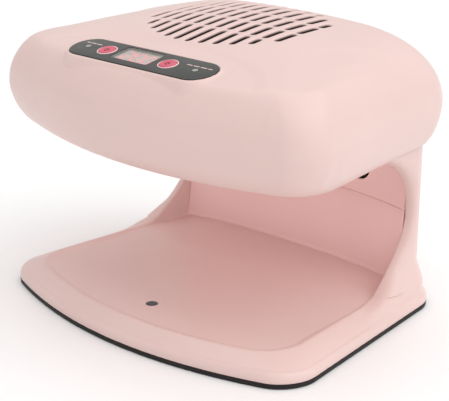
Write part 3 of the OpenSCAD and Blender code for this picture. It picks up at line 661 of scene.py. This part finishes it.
# ---- big mouldings ---------------------------------------------------------------------------------
# The odd fractions keep sample planes off the flat faces, and just under the hood's lip.
HOOD_SPAN = (0, -100.013, LIP_Z - 3 * VOXEL - 0.037), (142, 106, 201)
BODY_SPAN = (0, -106.013, BODY_Z - 3.037), (138, 106, LIP_Z + 3)
hood = new_object("hood_cover", *field_mesh(hood_field, *HOOD_SPAN, VOXEL))
dress(hood, "pink_gloss", replaces=["top_cover"])
hood.data.materials.append(MATS["hood_inside_painted_shade"])
# The hood's inside faces take the near-black second material: painted shade in place of the pink inside.
centres = mesh_values(hood.data.polygons, "center")
painted_shade_faces = hood_surface(*centres.T, 0.0) < -2.1
painted_shade_faces &= (centres[:, 2] > LIP_Z + 1) & (panel_frame(*centres.T)[1] < -1.0)
hood.data.polygons.foreach_set("material_index", painted_shade_faces.astype(np.int32))
# Depth inside the intake slots, which drives the painted shade that pink_gloss lays on the slot walls.
spots = mesh_values(hood.data.vertices, "co")
inside_slot = slot_distance(spots[:, 0], spots[:, 1]) < 1.6
slot_depth = np.where(inside_slot, np.clip(-hood_surface(*spots.T, 0.0), 0, 4), 0)
depth_layer = hood.data.attributes.new("slot_depth", "FLOAT", "POINT")
depth_layer.data.foreach_set("value", slot_depth.astype(np.float32))

body = new_object("housing_body", *field_mesh(housing_field, *BODY_SPAN, VOXEL))

inlet_lo, inlet_hi = (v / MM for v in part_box("power_inlet"))
BACK_IN, BACK_OUT, INLET_EDGE = 96.5, 108, 1.8
VENT_W, VENT_LOW, VENT_HIGH = 3, 30, 56
inlet_x = inlet_lo.x + INLET_EDGE, inlet_hi.x - INLET_EDGE
inlet_z = inlet_lo.z + INLET_EDGE, inlet_hi.z - INLET_EDGE
back_cuts = [box_solid(*inlet_x, BACK_IN, BACK_OUT, *inlet_z)]
back_cuts += [box_solid(x, x + VENT_W, BACK_IN, BACK_OUT, VENT_LOW, VENT_HIGH) for x in range(-78, -21, 8)]
cut(body, merge(*back_cuts), "back_cuts")
smooth_by_angle(body, 50)
dress(body, "pink_gloss", replaces=["main_housing"])

plate = new_object("bottom_plate", *slab(BASE.ring, PLATE_Z, BODY_Z - 0.02, 0.3, 0.1), sharp=40)
dress(plate, "black_abs", replaces=["base_plate"])

# ---- back panels -----------------------------------------------------------------------------------
LEAN, SKIRT, PANEL_BOW = 6.8, 3.4, 11.0
LOWER_FOOT_Z, WALL_FOOT_Z, SEAM_Z, UPPER_TOP_Z = 15.1, 18.5, 67, 117.4
WALL_Y, SEAM_LOW, SEAM_HIGH = 86, 0.05, 0.15
OUTLET_HALF, OUTLET_R, OUTLET_Z = 64.0, 11.2, 88.5
LOWER_Y = WALL_Y - SKIRT * math.tan(math.radians(LEAN))
UPPER_Y = WALL_Y + (SEAM_Z - WALL_FOOT_Z) * math.tan(math.radians(LEAN))


def curved_panel(foot_y, z0, z1, lean, skirt=0, n=120):
    """Upright sheet, bowed forward at both ends to meet the cheeks, with rounded edges."""
    profile = rect_ring(2.2, z1 - z0, 0.5, 0.0, 5) + [1.1, (z1 + z0) / 2]
    if skirt:
        lip = [[-0.8, z0 + 0.3], [-0.8, z0 + skirt - 0.6], [-0.6, z0 + skirt - 0.2], [-0.2, z0 + skirt]]
        rise = [[2.2, z0 + 0.3], [2.2, z1 - 0.4], [1.8, z1], [0.4, z1], [0.0, z1 - 0.4]]
        profile = np.array([*rise, *lip[::-1], [-0.5, z0], [1.9, z0]])
    back = foot_y + profile[:, 0] + (profile[:, 1] - z0) * math.tan(math.radians(lean))
    reach = np.linspace(85, 112, 2701)
    gaps = [np.abs(LIP.distance(reach, y - PANEL_BOW) + CHEEK + 0.05) for y in back]
    ends = np.array([reach[np.argmin(gap)] for gap in gaps])
    rings = [np.column_stack([ends * t, back - PANEL_BOW * abs(t) ** 3, profile[:, 1]])
             for t in np.linspace(-1, 1, n)]
    return loft(rings)


# Both back panels take the lighter pink: painted light on the back wall of the opening.
sheet = curved_panel(LOWER_Y, LOWER_FOOT_Z, SEAM_Z - SEAM_LOW, LEAN, SKIRT)
lower = new_object("back_panel_lower", *sheet, sharp=50)
dress(lower, "pink_satin", replaces=["lower_back_panel"])
sheet = curved_panel(UPPER_Y, SEAM_Z + SEAM_HIGH, UPPER_TOP_Z, 0.0)
upper = new_object("back_panel_upper", *sheet, sharp=50)
cut(upper, stadium_y(OUTLET_HALF, OUTLET_R, 70, 110, OUTLET_Z), "outlet_cut")
smooth_by_angle(upper, 40)
dress(upper, "pink_satin", replaces=["upper_back_panel"])

# ---- control panel ---------------------------------------------------------------------------------
ROW_V, BUTTON_R, BUTTON_GAP, LAMP_HOLE_R = 0.0, 5.7, 0.2, 2.0
BUTTONS = {"left_button": -31.4, "right_button": 23.6}
LAMPS = (-49.4, 46.6)
DISPLAY_AT = [-5.4, WINDOW_V]
# Plain marks in place of print: (across, up, width) on a button, (across, width) on the panel.
BUTTON_BARS = [(0.0, 0.9, 3.0), (-1.2, -0.5, 1.6), (1.2, -0.5, 1.6), (0.0, -1.9, 2.4)]
PANEL_DASHES = [(-54.2, 3.4), (-49.4, 4.6), (-43.9, 4.8), (37.4, 4.4), (43.0, 5.0), (49.0, 5.2), (54.4, 3.6)]
DASH_V = 5.0

sheet = slab(lambda i: stadium_ring(PANEL_HALF, PANEL_R, i, 48), -1.2, 0.4, 0.1, 0.35)
overlay = new_object("control_overlay", *on_panel(sheet))
hole_r = BUTTON_R + BUTTON_GAP
holes = [lathe([(hole_r, -3), (hole_r, 3)], 72, (x, ROW_V)) for x in BUTTONS.values()]
holes += [lathe([(LAMP_HOLE_R, -3), (LAMP_HOLE_R, 3)], 48, (x, ROW_V)) for x in LAMPS]
holes.append(slab(lambda i: rect_ring(33.4, 18.4, 1.6, i) + DISPLAY_AT, -3, 3, SHARP, SHARP, 1))
cut(overlay, on_panel(merge(*holes)), "panel_cut")
smooth_by_angle(overlay, 40)
dress(overlay, "panel_dark", replaces=["control_panel"])

rim_profile = [(0.25, 0.38), (0.25, 0.6), (0.35, 0.72), (0.55, 0.76), (0.9, 0.72), (1.06, 0.6), (1.1, 0.38)]
rings = [ring_lathe([(BUTTON_R + r, w) for r, w in rim_profile], 96, (x, ROW_V)) for x in BUTTONS.values()]
dress(new_object("button_rims", *on_panel(merge(*rings)), sharp=50), "ring_pale", replaces=["button_rings"])

for name, x in BUTTONS.items():
    edge = [(1.1, -2.1), (1.2, -2.0), (1.2, -1.4), (1.1, -1.3), (0.0, -1.3), (0.0, 0.7), (-0.1, 0.94),
            (-0.4, 1.1), (-0.9, 1.15), (-1.9, 1.05)]
    profile = [(0.01, -4.2), (1.9, -4.2), (2.0, -4.1), (2.0, -2.1)] + [(BUTTON_R + r, w) for r, w in edge]
    profile += [(2.6, 0.96), (1.2, 0.9), (0.01, 0.88)]
    cap = new_object(name + "_cap", *on_panel(lathe(profile, 96, (x, ROW_V))), sharp=55)
    dress(cap, "button_pink", name, replaces=[name])
    bars = [slab(lambda i: rect_ring(w, 0.42, 0.2, i) + [x + u, ROW_V + v], 0.7, 1.05, SHARP, 0.06, 2)
            for u, v, w in BUTTON_BARS]
    dress(new_object(name + "_marks", *on_panel(merge(*bars)), sharp=50), "black_abs", name)

dashes = [slab(lambda i: rect_ring(w, 0.8, 0.3, i) + [u, DASH_V], 0.2, 0.46, SHARP, 0.05, 2)
          for u, w in PANEL_DASHES]
dress(new_object("panel_dashes", *on_panel(merge(*dashes)), sharp=50), "ring_pale")

window = slab(lambda i: rect_ring(33, 18, 1.4, i) + DISPLAY_AT, -1.2, 0.2, 0.1, 0.3)
dress(new_object("display_pane", *on_panel(window), sharp=50), "display_clear", replaces=["display_window"])
block = slab(lambda i: rect_ring(34, 19, 0.6, i) + DISPLAY_AT, -8.2, -1.6, 0.2, 0.2)
dress(new_object("display_block", *on_panel(block), sharp=50), "display_body", replaces=["display_module"])

# ---- stage -----------------------------------------------------------------------------------------
FLOOR = 4000
floor_points = [(-FLOOR, -FLOOR, 0), (FLOOR, -FLOOR, 0), (FLOOR, FLOOR, 0), (-FLOOR, FLOOR, 0)]
floor = new_object("floor", floor_points, [[0, 1, 2, 3]])
pale = surface("floor_pale", (0.93, 0.93, 0.93), (0.95, 0.95, 0.95), (0.5, 0.6), 3, 400, 0.02, 0.0001)
floor.data.materials.append(pale)


def sun(name, azimuth, elevation, angle, strength):
    data = bpy.data.lights.new(name, "SUN")
    data.energy, data.angle = strength, math.radians(angle)
    obj = bpy.data.objects.new(name, data)
    bpy.context.scene.collection.objects.link(obj)
    a, e = math.radians(azimuth), math.radians(elevation)
    toward = Vector((math.sin(a) * math.cos(e), -math.cos(a) * math.cos(e), math.sin(e)))
    obj.rotation_euler = toward.to_track_quat("Z", "Y").to_euler()


sun("key", azimuth=93, elevation=32, angle=70, strength=0.72)
sun("top", azimuth=120, elevation=78, angle=90, strength=1.20)

# A weak lamp inside the opening, for the light that reaches the back wall.
fill = bpy.data.lights.new("fill", "AREA")
fill.shape, fill.size, fill.size_y, fill.energy = "RECTANGLE", 0.15, 0.04, 0.018
glow = bpy.data.objects.new("fill", fill)
bpy.context.scene.collection.objects.link(glow)
glow.location = Vector((-20, -20, 98)) * MM
glow.rotation_euler = Vector((0, -1, 0.35)).to_track_quat("Z", "Y").to_euler()
glow.visible_camera = False

world = bpy.data.worlds.new("studio")
bpy.context.scene.world = world
world.use_nodes = True
sky = world.node_tree.nodes["Background"]
sky.inputs["Color"].default_value = (1.0, 0.995, 0.99, 1)
sky.inputs["Strength"].default_value = 0.665

# ---- inner and small CAD pieces keep their CAD shape -----------------------------------------------
# The hood liner takes the lighter pink with painted light.
KEEP = {
    "feet": "black_rubber", "outlet_louver": "black_abs", "hood_liner": "pink_satin",
    "display_segments": "segment_glow", "tact_switches": "black_abs", "light_pipes": "lamp_clear",
    "control_board": "board_green", "fan_frame": "fan_black", "fan_motor": "steel", "motor_shaft": "steel",
    "impeller": "fan_black", "heater_core": "aluminium", "heater_holders": "mica",
    "thermal_cutout": "aluminium", "sensor_lens": "sensor_dark", "sensor_board": "board_green",
    "power_inlet": "black_abs", "power_board": "board_green", "wiring_harness": "wire_white",
    "base_screws": "steel", "hood_screws": "steel", "fan_screws": "steel", "board_screws": "steel",
}
for node_name, slot_name in KEEP.items():
    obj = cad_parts[node_name]
    obj.data.materials.clear()
    obj.data.materials.append(MATS[slot_name])

# ---- camera ----------------------------------------------------------------------------------------
camera = bpy.data.objects.new("camera", bpy.data.cameras.new("camera"))
bpy.context.scene.collection.objects.link(camera)
target = Vector((0, 1.62, 71.49)) * MM
azimuth, elevation, reach = math.radians(43.18), math.radians(19.59), 0.8759
level = math.cos(elevation)
away = Vector((math.sin(azimuth) * level, -math.cos(azimuth) * level, math.sin(elevation)))
camera.location = target + away * reach
camera.rotation_euler = (-away).to_track_quat("-Z", "Y").to_euler()
camera.data.sensor_width = 36
camera.data.lens = 102.07
camera.data.shift_x, camera.data.shift_y = 0.0142, -0.0016
camera.data.clip_start, camera.data.clip_end = 0.05, 50
bpy.context.scene.camera = camera
bpy.context.scene.view_settings.view_transform = "Standard"
